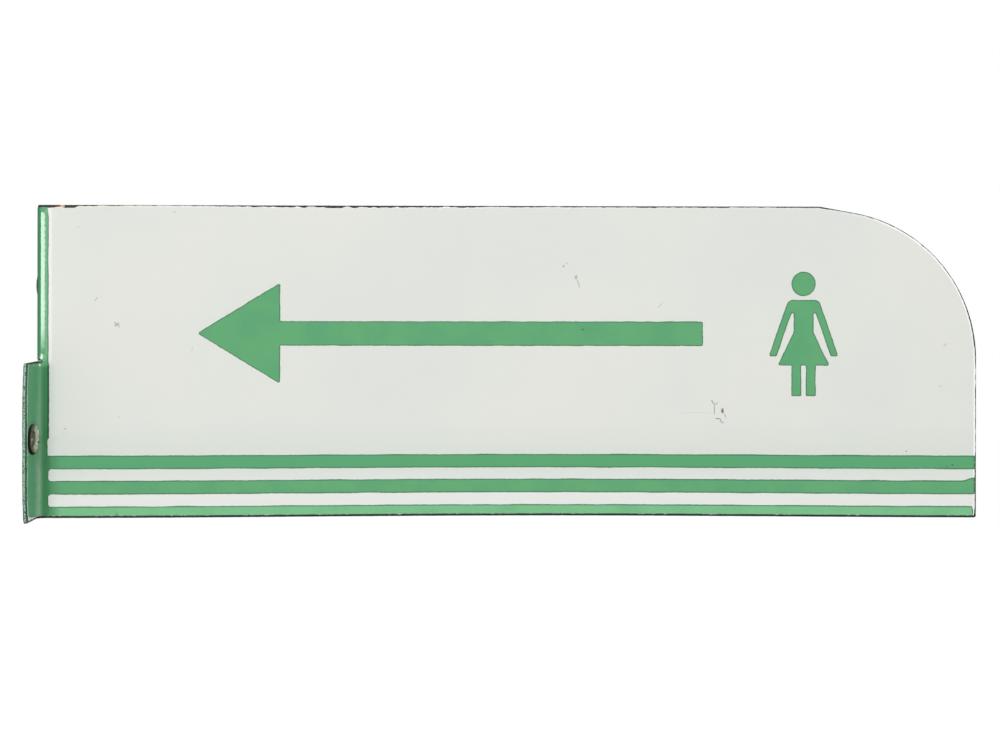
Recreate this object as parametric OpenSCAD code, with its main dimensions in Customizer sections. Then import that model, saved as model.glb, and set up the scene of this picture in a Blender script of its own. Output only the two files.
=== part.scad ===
// Double-sided vitreous enamel flange sign for a restroom door.
// A pressed steel sheet stands out from the wall. Its wall edge is slit at mid-height: the lower
// half of the flange is folded to the front and the upper half to the back.
// Frame: X = 0 is the wall, +X runs to the free end, -Y faces the front viewer, +Z is up.
// Z = 0 is the slit and Y = 0 is the middle of the sheet.

/* [Face] */
// Flat length of the face, from the bend to the free end
face_length = 609.6; // [400:0.1:900]
// Height of the sign
face_height = 203.2; // [165:0.1:320]
// Radius of the large upper corner at the free end
end_corner_r = 101.6; // [5:0.1:140]
// Radius of the small lower corner at the free end
foot_corner_r = 1.2; // [0.3:0.1:20]

/* [Flange] */
// Outside length of each flange half, from the far side of the face to the flange's edge
flange_leg = 28.6; // [27:0.1:60]
// Inside radius of the bend, over the enamel
bend_inner_r = 2.8; // [1:0.1:6]
// Radius of the flange's free corners
flange_corner_r = 4; // [0.5:0.1:15]
// Width of the slit between the two halves
slit_w = 1.2; // [0.8:0.1:4]
// How far the slit runs past the bend into the face
slit_past_bend = 0.3; // [0.1:0.1:3]

/* [Sheet and enamel coats] */
// Thickness of the steel
steel_t = 1.6; // [0.8:0.1:3]
// Thickness of the dark ground coat, which goes all round the steel
ground_t = 0.12; // [0.08:0.01:0.2]
// Thickness of the white coat
white_t = 0.18; // [0.1:0.01:0.3]
// Thickness of the green coat
green_t = 0.12; // [0.08:0.01:0.3]
// How far the white coat stops short of the steel's edges
white_setback = 0.35; // [0.1:0.05:2]
// How far the green coat stops short of the steel's edges
green_setback = 0.5; // [0.1:0.05:3]

/* [Screw holes] */
// Radius of the hole that a wall screw passes through
screw_hole_r = 4.76; // [3:0.01:6]
// Distance from the end of the bend to the hole's centre
hole_past_bend = 10; // [9.9:0.1:14]
// Height of the hole's centre above or below the slit
hole_height = 49.2; // [12:0.1:80]

/* [Grommets] */
// Radius of the eyelet's rim
rim_r = 9.8; // [8.5:0.1:9.9]
// Height of the rim's dome over the enamel
rim_h = 1.3; // [0.9:0.05:2]
// Thickness of the brass that the eyelet is drawn from
brass_t = 0.5; // [0.3:0.05:0.7]
// Outer radius of the washer behind the flange
washer_r = 9.4; // [8:0.1:9.8]
// Thickness of the washer
washer_t = 0.9; // [0.7:0.05:2]
// How much wider than the barrel the flared tail opens at the wall
tail_flare = 1.5; // [0.5:0.1:1.8]
// Gap between the eyelet's barrel and the enamelled edge of the hole
barrel_clearance = 0.3; // [0.1:0.05:0.6]
// Gap between the eyelet's flared tail and the washer
tail_clearance = 0.04; // [0.02:0.01:0.1]

/* [Stripes] */
// Distance from the wall to the edge of the green border
border_x = 9.7; // [9.2:0.1:40]
// Height of the bottom stripe, from the sign's lower edge
bottom_stripe_h = 7.4; // [3:0.1:20]
// Height of the white gap between the bottom and the middle stripe
lower_gap_h = 8.1; // [3:0.1:20]
// Height of the middle stripe
middle_stripe_h = 8.6; // [3:0.1:20]
// Height of the white gap between the middle and the top stripe
upper_gap_h = 7.8; // [3:0.1:20]
// Height of the top stripe
top_stripe_h = 8.5; // [3:0.1:20]
// White rim left between the stripes and the free end
stripe_end_rim = 2.4; // [0.5:0.1:20]
// Radius of the corners where a white gap meets the green border
gap_corner_r = 2; // [0.5:0.1:3]

/* [Symbols] */
// Distance from the wall to the arrow's tip
arrow_tip_x = 106; // [30:1:160]
// Length of the arrow's head
arrow_head_length = 54; // [20:1:90]
// Full height of the arrow's head
arrow_head_h = 66; // [30:1:90]
// Height of the arrow's shaft
arrow_shaft_h = 16; // [8:1:28]
// Distance from the free end back to the middle line of the figure
figure_from_end = 113.7; // [40:0.1:220]
// Distance from the middle line of the figure back to the arrow's tail
arrow_from_figure = 66; // [30:1:150]
// Height of the arrow's middle line above the sign's lower edge
symbol_z = 119.8; // [95:0.1:125]
// Height of the figure from its feet to the neck
figure_body_h = 63; // [50:1:70]
// Radius of the figure's head
figure_head_r = 8; // [5:0.5:9]
// White gap between the figure's head and shoulders
figure_neck_gap = 2.4; // [1:0.1:4]
// Width across the figure's shoulders
figure_shoulder_w = 20; // [15:1:22]
// Width of the figure's body between its arms
figure_torso_w = 13; // [10:0.5:18]
// Height of the waist above the feet, where the skirt starts to flare
figure_waist_h = 42; // [34:1:50]
// Width of the figure's skirt at the hem
figure_hem_w = 34; // [26:1:38]
// Height of the hem above the feet
figure_hem_h = 20; // [8:1:30]
// Width of each of the figure's legs
figure_leg_w = 6.5; // [3:0.5:9]
// White gap between the figure's legs
figure_leg_gap = 3; // [1:0.5:6]
// Width of each of the figure's arms
figure_arm_w = 5.2; // [4:0.1:6]
// Spread of each arm from the shoulder to the hand
figure_arm_spread = 13; // [11:0.5:20]
// Length of the arms, measured straight down
figure_arm_drop = 37; // [24:1:42]

/* [Hidden] */
$fn = 96;

front = 1;
back = -1;
upper = 1;
lower = -1;

// Each coat lies between two heights over the middle of the sheet
steel_top = steel_t / 2;
ground_top = steel_top + ground_t;
white_top = ground_top + white_t;
green_top = white_top + green_t;
finished_t = 2 * green_top;

// The flange's back lies on the washers, and the bend starts a full bend away from it
flange_back_x = washer_t;
flange_front_x = flange_back_x + finished_t;
flange_mid_x = flange_back_x + green_top;
bend_mid_r = bend_inner_r + green_top;
bend_x = flange_mid_x + bend_mid_r;

// Outline of the bare steel: the ground coat adds its own thickness all round
steel_half_h = face_height / 2 - ground_t;
steel_end_x = bend_x + face_length - ground_t;
steel_flange_y = flange_leg - green_top - ground_t;
foot_z = -face_height / 2;
face_end_x = bend_x + face_length;

// Holes
barrel_r = screw_hole_r + brass_t;
coated_hole_r = barrel_r + barrel_clearance;
steel_hole_r = coated_hole_r + ground_t;
hole_y = bend_mid_r + hole_past_bend;
slit_end_x = bend_x + slit_past_bend;

// Heights of the stripes
middle_stripe_z = foot_z + bottom_stripe_h + lower_gap_h;
top_stripe_z = middle_stripe_z + middle_stripe_h + upper_gap_h;
stripe_end_x = face_end_x - stripe_end_rim;

// Places of the symbols
figure_x = face_end_x - figure_from_end;
arrow_end_x = figure_x - arrow_from_figure;
symbol_mid_z = foot_z + symbol_z;
figure_h = figure_body_h + figure_neck_gap + 2 * figure_head_r;
figure_foot_z = symbol_mid_z - figure_h / 2;

over = 1;
far = 2 * face_length;
sharpest_r = 0.1;
lap = slit_past_bend / 2;

// Radius of an outline's corner once it is offset: a small corner ends up almost sharp
function offset_r(r, grow) = max(r + grow, sharpest_r);

// What a rounded corner on the right takes off a square one, at the top or at the bottom
module corner_cut(corner, r, up) {
  difference() {
    translate([corner[0] - r, corner[1] - (up > 0 ? r : over)])
      square(r + over);
    translate([corner[0] - r, corner[1] - up * r])
      circle(r = r);
  }
}

// Outline of the flat face in X and Z, offset outwards by grow
module face_outline(grow) {
  top = steel_half_h + grow;
  end = steel_end_x + grow;
  difference() {
    translate([bend_x, -top])
      square([end - bend_x, 2 * top]);
    corner_cut([end, top], offset_r(end_corner_r, grow), 1);
    corner_cut([end, -top], offset_r(foot_corner_r, grow), -1);
    slit_outline(grow);
  }
}

// The slit with its round end, which gets narrower as the coats build up
module slit_outline(grow) {
  half = slit_w / 2 - grow;
  translate([0, -half])
    square([slit_end_x, 2 * half]);
  translate([slit_end_x, 0])
    circle(r = half);
}

// Everything inside a rounded corner in X and Y, at one height over the middle of the sheet
module inside_bend(height, end_x, end_y) {
  difference() {
    translate([flange_mid_x - height, -height])
      square([end_x - flange_mid_x + height, end_y + height]);
    difference() {
      translate([flange_mid_x - height - over, -height - over])
        square(bend_mid_r + height + over);
      translate([bend_x, bend_mid_r])
        circle(r = bend_mid_r + height);
    }
  }
}

// What is cut from one flange half, out along it and along its height: two corners and the hole
module flange_cuts(edge, low, high, grow) {
  corner_cut([edge, high], offset_r(flange_corner_r, grow), 1);
  corner_cut([edge, low], offset_r(flange_corner_r, grow), -1);
  translate([hole_y, hole_height])
    circle(r = steel_hole_r - grow);
}

// The flange and bend of the upper half, between two heights over the middle of the sheet.
// Heights count towards the wall here. The fold laps a little way on to the flat face.
module upper_fold(low, high, grow) {
  fold_low = slit_w / 2 - grow;
  fold_high = steel_half_h + grow;
  edge = steel_flange_y + grow;
  difference() {
    translate([0, 0, fold_low])
      linear_extrude(fold_high - fold_low)
        difference() {
          inside_bend(high, bend_x + lap, edge);
          inside_bend(low, bend_x + lap + over, edge + over);
        }
    translate([-over, 0, 0])
      rotate([90, 0, 90])
        linear_extrude(flange_front_x + 2 * over)
          flange_cuts(edge, fold_low, fold_high, grow);
  }
}

// One layer of the whole sheet, between two heights counted towards the front
module sheet_layer(low, high, grow) {
  translate([0, -low, 0])
    rotate([90, 0, 0])
      linear_extrude(high - low)
        face_outline(grow);
  upper_fold(low, high, grow);
  rotate([180, 0, 0])
    upper_fold(-high, -low, grow);
}

// One layer on the chosen side, between two heights over the middle of the sheet
module coat(side, low, high, grow) {
  sheet_layer(side > 0 ? low : -high, side > 0 ? high : -low, grow);
}

// A flat patch of green enamel on the face, drawn in X and Z
module green_patch(side) {
  translate([0, side > 0 ? -white_top : green_top, 0])
    rotate([90, 0, 0])
      linear_extrude(green_t)
        children();
}

// Pressed steel sheet with both flange halves
module steel_sheet() {
  color("slategray")
    sheet_layer(-steel_top, steel_top, 0);
}

// Dark first coat, fired all round the steel
module ground_coat() {
  color([0.10, 0.12, 0.13])
    difference() {
      sheet_layer(-ground_top, ground_top, ground_t);
      sheet_layer(-steel_top, steel_top, 0);
    }
}

// White cover coat on one side
module white_coat(side) {
  color([0.88, 0.89, 0.86])
    coat(side, ground_top, white_top, -white_setback);
}

// Green coat on one side of both flange halves, round the bend and on to the face.
// The corners of the white gaps between the stripes are rounded.
module green_border(side) {
  color([0.35, 0.60, 0.44]) {
    intersection() {
      coat(side, white_top, green_top, -green_setback);
      translate([-over, -far / 2, -far / 2])
        cube([border_x + over, far, far]);
    }
    green_patch(side) {
      gap_corners(middle_stripe_z - lower_gap_h, lower_gap_h);
      gap_corners(top_stripe_z - upper_gap_h, upper_gap_h);
    }
  }
}

// Green fillets in the two corners of a white gap that starts at height z. They lap on to the border.
module gap_corners(z, h) {
  r = min(gap_corner_r, h / 2);
  translate([border_x - lap, z])
    difference() {
      square([r + lap, r]);
      translate([r + lap, r])
        circle(r = r);
    }
  translate([border_x - lap, z + h - r])
    difference() {
      square([r + lap, r]);
      translate([r + lap, 0])
        circle(r = r);
    }
}

// Green stripe from the border to the white rim at the free end
module stripe(side, z, h) {
  color([0.40, 0.66, 0.48])
    green_patch(side)
      translate([border_x, z])
        square([stripe_end_x - border_x, h]);
}

// Bottom stripe, which stops short of the steel's lower edge as the coat does
module bottom_stripe(side) {
  edge = ground_t + green_setback;
  stripe(side, foot_z + edge, bottom_stripe_h - edge);
}

// Plain arrow that points to the wall
module arrow(side) {
  head_end_x = arrow_tip_x + arrow_head_length;
  color([0.40, 0.66, 0.48])
    green_patch(side)
      translate([0, symbol_mid_z]) {
        polygon([
          [arrow_tip_x, 0],
          [head_end_x, -arrow_head_h / 2],
          [head_end_x, -arrow_shaft_h / 2],
          [arrow_end_x, -arrow_shaft_h / 2],
          [arrow_end_x, arrow_shaft_h / 2],
          [head_end_x, arrow_shaft_h / 2],
          [head_end_x, arrow_head_h / 2]
        ]);
      }
}

// Plain figure in a skirt: a round head over one outline of body, arms, skirt and legs.
// The outline runs from the right shoulder down to the feet and is mirrored to the left.
module figure(side) {
  shoulder_x = figure_shoulder_w / 2;
  hand_x = shoulder_x + figure_arm_spread;
  hand_z = figure_body_h - figure_arm_drop;
  torso_x = figure_torso_w / 2;
  arm_slope = figure_arm_drop / figure_arm_spread;
  armpit_z = figure_body_h - arm_slope * (torso_x - shoulder_x + figure_arm_w);
  leg_in_x = figure_leg_gap / 2;
  leg_out_x = leg_in_x + figure_leg_w;
  right = [
    [shoulder_x, figure_body_h],
    [hand_x, hand_z],
    [hand_x - figure_arm_w, hand_z],
    [torso_x, armpit_z],
    [torso_x, figure_waist_h],
    [figure_hem_w / 2, figure_hem_h],
    [leg_out_x, figure_hem_h],
    [leg_out_x, 0],
    [leg_in_x, 0],
    [leg_in_x, figure_hem_h]
  ];
  left = [for (i = [len(right) - 1:-1:0]) [-right[i][0], right[i][1]]];
  color([0.40, 0.66, 0.48])
    green_patch(side)
      translate([figure_x, figure_foot_z]) {
        translate([0, figure_h - figure_head_r])
          circle(r = figure_head_r);
        polygon(concat(right, left));
      }
}

// Places a grommet piece, drawn along Z from the wall, on one flange half
module on_flange(half) {
  translate([0, half * hole_y, half * hole_height])
    rotate([0, 90, 0])
      children();
}

// Brass eyelet: a domed hollow rim on the flange's front, a barrel through the hole and a tail
// flared into the washer. The dome is an arc of the given height over the rim's width.
module eyelet(half) {
  rim_mid_r = (screw_hole_r + rim_r) / 2;
  half_chord = (rim_r - screw_hole_r) / 2;
  dome_r = (half_chord * half_chord + rim_h * rim_h) / (2 * rim_h);
  dome_z = flange_front_x + rim_h - dome_r;
  color("darkgoldenrod")
    on_flange(half) {
      rotate_extrude()
        intersection() {
          difference() {
            translate([rim_mid_r, dome_z])
              circle(r = dome_r);
            translate([rim_mid_r, dome_z])
              circle(r = dome_r - brass_t);
          }
          translate([screw_hole_r, flange_front_x])
            square([rim_r - screw_hole_r, rim_h + over]);
        }
      rotate_extrude()
        polygon([
          [screw_hole_r, washer_t],
          [screw_hole_r, flange_front_x],
          [barrel_r, flange_front_x + brass_t / 2],
          [barrel_r, washer_t],
          [barrel_r + tail_flare, 0],
          [screw_hole_r + tail_flare, 0]
        ]);
    }
}

// Brass washer behind the flange, countersunk for the eyelet's flared tail
module washer(half) {
  seat_r = barrel_r + tail_clearance;
  color("goldenrod")
    on_flange(half)
      rotate_extrude()
        polygon([
          [seat_r, washer_t],
          [washer_r, washer_t],
          [washer_r, 0],
          [seat_r + tail_flare, 0]
        ]);
}

steel_sheet();
ground_coat();
white_coat(front);  // front_white_coat
white_coat(back);  // back_white_coat
green_border(front);  // front_green_border
green_border(back);  // back_green_border
stripe(front, top_stripe_z, top_stripe_h);  // front_top_stripe
stripe(front, middle_stripe_z, middle_stripe_h);  // front_middle_stripe
bottom_stripe(front);  // front_bottom_stripe
stripe(back, top_stripe_z, top_stripe_h);  // back_top_stripe
stripe(back, middle_stripe_z, middle_stripe_h);  // back_middle_stripe
bottom_stripe(back);  // back_bottom_stripe
arrow(front);  // front_arrow
arrow(back);  // back_arrow
figure(front);  // front_figure
figure(back);  // back_figure
eyelet(lower);  // lower_eyelet
eyelet(upper);  // upper_eyelet
washer(lower);  // lower_washer
washer(upper);  // upper_washer
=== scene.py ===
from math import ceil, pi, radians

import bpy
import numpy as np
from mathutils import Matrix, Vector
from mathutils.geometry import delaunay_2d_cdt


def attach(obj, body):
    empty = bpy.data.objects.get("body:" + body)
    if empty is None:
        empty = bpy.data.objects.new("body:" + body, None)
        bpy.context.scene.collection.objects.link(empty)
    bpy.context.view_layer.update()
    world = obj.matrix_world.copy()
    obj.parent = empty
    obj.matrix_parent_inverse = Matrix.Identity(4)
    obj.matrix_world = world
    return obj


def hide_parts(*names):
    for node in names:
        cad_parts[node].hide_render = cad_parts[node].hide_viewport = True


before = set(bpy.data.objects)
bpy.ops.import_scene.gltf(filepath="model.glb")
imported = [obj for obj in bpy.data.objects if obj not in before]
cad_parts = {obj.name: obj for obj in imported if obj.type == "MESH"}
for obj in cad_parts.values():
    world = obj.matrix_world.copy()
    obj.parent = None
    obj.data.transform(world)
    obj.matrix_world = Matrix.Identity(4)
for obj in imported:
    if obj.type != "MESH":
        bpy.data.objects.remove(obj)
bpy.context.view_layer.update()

# Values in millimetres. Heights over the sheet count from the middle of its thickness to the front.

# Sheet: bend, edges and corners
BEND_R = 4.9
BEND_X = 7.02
BEND_LENGTH = BEND_R * pi / 2
FREE_EDGE = -30.05
FACE_END = 608.6
HALF_HEIGHT = 101.48
END_CORNER = 97.3
CORNER_DROP = 18.6
CORNER_START = 505.5
STEEL_CORNER = 4.0
COAT_CORNER = 1.6
FOOT_CORNER = 1.2
EDGE_LEAN = 2.3
EDGE_BOW = 120.0
LEAN_OUTER = 84.0
LEAN_INNER = 17.0

# Slit and holes
STEEL_SLIT_END = 0.02
STEEL_SLIT = 0.6
COAT_SLIT_END = -2.18
COAT_SLIT = 0.24
HOLE_U = -16.817
HOLE_Y = 14.02
HOLE_Z = 49.2
STEEL_HOLE = 5.68
GREEN_HOLE = 6.18

# Green border and stripes, and how far the coats are set back or rubbed back at the free edge
BORDER_U = 2.68
BORDER_STEP = (-50.8, -49.6)
TOP_STRIPE = (-69.7, -61.2)
MIDDLE_STRIPE = (-86.1, -77.5)
BOTTOM_STRIPE_TOP = -94.2
STRIPE_END = 607.6
GREEN_BACK = 0.4
RUBBED_BACK = 3.0
CORNER_TRIM = 3.2
CORNER_BACK = 0.5

# Bow of the foot, and swing of the fold from one half of the flange to the other
FOOT_SAG = -0.6
FOOT_RISE = 1.5
FOOT_WAVE = 640
BOW_HEIGHT = 80
SWING_AT_SLIT = 0.5
SWING_AT_FACE = 3.0
SLIT_DEPTH = 2.2

# Distance between points along an edge: on the flange and the bend, and on the face
FINE_STEP = 0.35
FACE_STEP = 0.7


# Shapes

def lifted(u, z):
    """Height of a point once the sheet's slight bow is added: none above the middle, most along the foot.

    Along the foot it is one cosine wave: 0.6 mm down at both ends and 0.9 mm up in between.
    """
    bow = FOOT_SAG + FOOT_RISE / 2 * (1 - np.cos(2 * pi * np.maximum(u, 0) / FOOT_WAVE))
    return z + bow * np.clip(-z / BOW_HEIGHT, 0, 1)


def folded(u, z, h):
    """Places points of the flat sheet in space, in metres.

    u is the distance past the start of the bend: positive on the flat face, negative round the
    bend and along the flange. Round the bend the turn is -u / radius, up to a quarter turn, and
    what is left of u runs on along the flange. The upper half folds to the back and the lower
    half to the front. Between the slit's end and the flat face the fold swings over from one to
    the other, within half a millimetre at the slit and three at the face. A point then rises
    from the middle of the sheet along its normal, which turns with the fold.
    """
    swing = SWING_AT_SLIT + (SWING_AT_FACE - SWING_AT_SLIT) * np.clip(u / SLIT_DEPTH + 1, 0, 1)
    half = np.clip(z / swing, -1, 1)
    turn = np.clip(-u / BEND_R, 0, pi / 2)
    beyond = np.maximum(-u - BEND_LENGTH, 0)
    x = BEND_X + np.maximum(u, 0) - (BEND_R + half * h) * np.sin(turn)
    y = half * (BEND_R * (1 - np.cos(turn)) + beyond) - h * np.cos(turn)
    return np.stack([x, y, lifted(u, z)], axis=-1) * 0.001


def straight_steps(start, end):
    """Fractions along one straight edge, close together on the flange and bend, wider on the face."""
    length = np.hypot(*(end - start))
    t = np.linspace(0, 1, int(length / 0.05) + 3)
    u = start[0] + (end[0] - start[0]) * t
    density = length / np.where(u < 2, FINE_STEP, FACE_STEP)
    count = np.concatenate([[0], np.cumsum((density[1:] + density[:-1]) / 2 * np.diff(t))])
    number = max(int(round(count[-1])), 1)
    return np.interp(np.arange(1, number) / number * count[-1], count, t)


def rings(corners, insets):
    """Rings that follow a rounded outline at several distances inside it.

    corners are (u, z, radius), with the solid on the left of the way round. Moving an edge in by
    a distance moves each corner along its mitre, which is the sum of the two edge normals over
    one plus their dot product. A left turn's radius shrinks by the inset and a right turn's grows
    by it. Gives the points as (ring, point, 2), the outward normals and the length along the edge.
    """
    place = np.array([c[:2] for c in corners], float)
    radius = np.array([c[2] for c in corners], float)
    leaving = np.roll(place, -1, axis=0) - place
    leaving /= np.linalg.norm(leaving, axis=1, keepdims=True)
    arriving = np.roll(leaving, 1, axis=0)
    inward = np.stack([-leaving[:, 1], leaving[:, 0]], axis=1)
    before = np.roll(inward, 1, axis=0)
    cosine = np.clip(np.sum(before * inward, axis=1), -1, 1)
    turn = np.sign(arriving[:, 0] * leaving[:, 1] - arriving[:, 1] * leaving[:, 0])
    angle = np.arccos(cosine)
    mitre = (before + inward) / (1 + cosine)[:, None]
    depth = np.asarray(insets, float)[:, None]
    corner_r = np.maximum(radius - turn * depth, 0.03)
    centre = place + depth[..., None] * mitre + (turn * corner_r)[..., None] * mitre
    points = []
    normals = []
    for i in range(len(corners)):
        j = (i + 1) % len(corners)
        step = FINE_STEP if place[i, 0] < 5 else FACE_STEP
        swing = turn[i] * angle[i] * np.linspace(0, 1, max(4, ceil(angle[i] * radius[i] / step)) + 1)
        out = -np.stack([
            before[i, 0] * np.cos(swing) - before[i, 1] * np.sin(swing),
            before[i, 0] * np.sin(swing) + before[i, 1] * np.cos(swing),
        ], axis=1)
        arc = centre[:, i, None] + (turn[i] * corner_r[:, i])[:, None, None] * out
        start = arc[:, -1]
        end = centre[:, j] - (turn[j] * corner_r[:, j])[:, None] * inward[i]
        if np.hypot(*(end[0] - start[0])) < 1e-3:
            points.append(arc[:, :-1])
            normals.append(out[:-1])
            continue
        share = straight_steps(start[0], end[0])
        points.append(arc)
        normals.append(out)
        points.append(start[:, None] + share[None, :, None] * (end - start)[:, None])
        normals.append(np.repeat(-inward[i][None], len(share), axis=0))
    points = np.concatenate(points, axis=1)
    normals = np.concatenate(normals)
    gaps = np.linalg.norm(np.roll(points[0], -1, axis=0) - points[0], axis=1)
    along = np.concatenate([[0], np.cumsum(gaps)])
    return points, normals, along


def wander(along, longest, shortest, seed):
    """Waviness of an edge: 28 sines of random length and phase that close on themselves round it."""
    sines = 28
    rng = np.random.default_rng(seed)
    total = along[-1]
    lengths = np.exp(rng.uniform(np.log(shortest), np.log(longest), sines))
    turns = np.maximum(np.round(total / lengths), 1)
    phase = rng.uniform(0, 2 * pi, sines)
    waves = np.sin(2 * pi * along[:-1, None] / total * turns + phase)
    return waves.sum(axis=1) / np.sqrt(sines / 2)


def nicks(points, places):
    """Depth of small chips in an edge: each is a parabola over the distance from its place.

    places are (u, z, reach, depth in the middle).
    """
    u, z, reach, deepest = np.array(places, float).T
    away = np.hypot(points[:, :1] - u, points[:, 1:] - z)
    return (deepest * np.maximum(0, 1 - (away / reach) ** 2)).sum(axis=1)


def fill(borders, inside):
    """Triangles over the area within the first border and outside the others, as point numbers."""
    points = np.concatenate(borders + [inside])
    first = 0
    limits = []
    for border in borders:
        numbers = list(range(first, first + len(border)))
        limits.append(numbers if first == 0 else numbers[::-1])
        first += len(border)
    result = delaunay_2d_cdt(points.tolist(), [], limits, 0, 1e-7)
    if len(result[0]) != len(points):
        raise RuntimeError("an outline crosses itself")
    return np.array([face for face, within in zip(result[2], result[5]) if within == [0]])


def halved(*corners):
    """Two triangles for each four-cornered patch of a grid, from the numbers of its corners in turn."""
    a, b, c, d = (corner.ravel() for corner in corners)
    return np.concatenate([np.stack([a, b, c], axis=1), np.stack([a, c, d], axis=1)])


def bend_points():
    """Points that carry the curve of the bend: 21 columns, every 4 mm in height, clear of the slit."""
    u, z = np.meshgrid(np.linspace(-BEND_LENGTH, 0, 21), np.arange(-96, 97, 4.0))
    points = np.stack([u.ravel(), z.ravel()], axis=1)
    return points[np.abs(points[:, 1]) > 3.5]


def layered(outlines, layers, edge, inside):
    """A coat of glass: rings climb from its underside round its edge to its top, and both are filled.

    layers are (inset, height). edge gives, for each point of an outline, how far the coat's edge
    lies further in. It is held under four fifths of the rings' whole depth and dies away evenly
    to the last ring, so rings never cross. Gives the flat points as (u, z, height, distance from
    the edge) and the triangles.
    """
    insets, heights = np.array(layers, float).T
    depth = insets - insets.min()
    fade = 1 - depth / depth.max()
    vertices = []
    triangles = []
    tops = []
    bottoms = []
    ring_numbers = []
    first = 0
    for outline in outlines:
        points, normals, along = rings(outline, insets)
        extra = np.minimum(edge(points[0], along), 0.8 * depth.max())
        points = points - normals[None] * (extra[None] * fade[:, None])[..., None]
        count = points.shape[1]
        flat = np.zeros((len(layers), count, 4))
        flat[..., :2] = points
        flat[..., 2] = heights[:, None]
        flat[..., 3] = depth[:, None]
        vertices.append(flat.reshape(-1, 4))
        level, i = np.indices((len(layers) - 1, count))
        low = first + level * count + i
        low_next = first + level * count + (i + 1) % count
        triangles.append(halved(low, low_next, low_next + count, low + count))
        tops.append(points[-1])
        bottoms.append(first + np.arange(count))
        ring_numbers.append(first + (len(layers) - 1) * count + np.arange(count))
        first += len(layers) * count
    lid = fill(tops, inside)
    extra_points = np.zeros((2, len(inside), 4))
    extra_points[..., :2] = inside
    extra_points[0, :, 2] = heights[-1]
    extra_points[1, :, 2] = heights[0]
    extra_points[..., 3] = depth[-1]
    extra_points[1, :, 3] = depth[0]
    vertices.append(extra_points.reshape(-1, 4))
    top_numbers = np.concatenate(ring_numbers + [first + np.arange(len(inside))])
    bottom_numbers = np.concatenate(bottoms + [first + len(inside) + np.arange(len(inside))])
    triangles.append(top_numbers[lid])
    triangles.append(bottom_numbers[lid][:, ::-1])
    return np.concatenate(vertices), np.concatenate(triangles)


def joined(shapes):
    """Several shapes as one list of points and one of triangles."""
    vertices = []
    triangles = []
    first = 0
    for points, faces in shapes:
        vertices.append(points)
        triangles.append(faces + first)
        first += len(points)
    return np.concatenate(vertices), np.concatenate(triangles)


def make_mesh(name, places, triangles, distance=None):
    """Puts whole arrays of points, in metres, and triangles into a new object at the origin."""
    mesh = bpy.data.meshes.new(name)
    mesh.vertices.add(len(places))
    mesh.vertices.foreach_set("co", places.astype(np.float32).ravel())
    mesh.loops.add(3 * len(triangles))
    mesh.loops.foreach_set("vertex_index", triangles.astype(np.int32).ravel())
    mesh.polygons.add(len(triangles))
    mesh.polygons.foreach_set("loop_start", np.arange(0, 3 * len(triangles), 3, dtype=np.int32))
    mesh.polygons.foreach_set("use_smooth", np.ones(len(triangles), dtype=bool))
    mesh.update(calc_edges=True)
    if distance is not None:
        held = mesh.attributes.new("edge_distance", "FLOAT", "POINT")
        held.data.foreach_set("value", distance.astype(np.float32))
    mesh.validate()
    piece = bpy.data.objects.new(name, mesh)
    bpy.context.scene.collection.objects.link(piece)
    return piece


def make_coat(name, shape, side, material, replaced):
    """Folds a flat coat on to the front (side 1) or the back (side -1) and dresses it."""
    flat, triangles = shape
    places = folded(flat[:, 0], flat[:, 1], side * flat[:, 2])
    if side < 0:
        triangles = triangles[:, ::-1]
    piece = make_mesh(name, places, triangles, flat[:, 3])
    piece.data.materials.append(material)
    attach(piece, "root")
    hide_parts(*replaced)


# Outlines of the sheet, its holes and its green areas

def sheet_outline(low_edge, high_edge, corner, slit, slit_end):
    """The flat sheet with its round-ended slit. low_edge and high_edge are the flange's free edges.

    Each free edge leans in a little towards its two ends, because the flange was cut by hand. The
    big round corner leaves the top edge at a slight angle, runs straight for 22 mm and then turns.
    """
    return [
        (low_edge, -LEAN_OUTER, EDGE_BOW),
        (low_edge + EDGE_LEAN, -HALF_HEIGHT, corner),
        (FACE_END, -HALF_HEIGHT, FOOT_CORNER),
        (FACE_END, HALF_HEIGHT - CORNER_DROP, END_CORNER),
        (CORNER_START, HALF_HEIGHT, 12.0),
        (high_edge + EDGE_LEAN, HALF_HEIGHT, corner),
        (high_edge, LEAN_OUTER, EDGE_BOW),
        (high_edge, LEAN_INNER, EDGE_BOW),
        (high_edge + EDGE_LEAN, slit, corner),
        (slit_end, slit, slit),
        (slit_end, -slit, slit),
        (low_edge + EDGE_LEAN, -slit, corner),
        (low_edge, -LEAN_INNER, EDGE_BOW),
    ]


def hole_outlines(r):
    """The lower and the upper hole, walked clockwise so that the sheet lies on the left."""
    return [
        [(HOLE_U - r, z - r, r), (HOLE_U - r, z + r, r), (HOLE_U + r, z + r, r), (HOLE_U + r, z - r, r)]
        for z in (-HOLE_Z, HOLE_Z)
    ]


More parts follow.
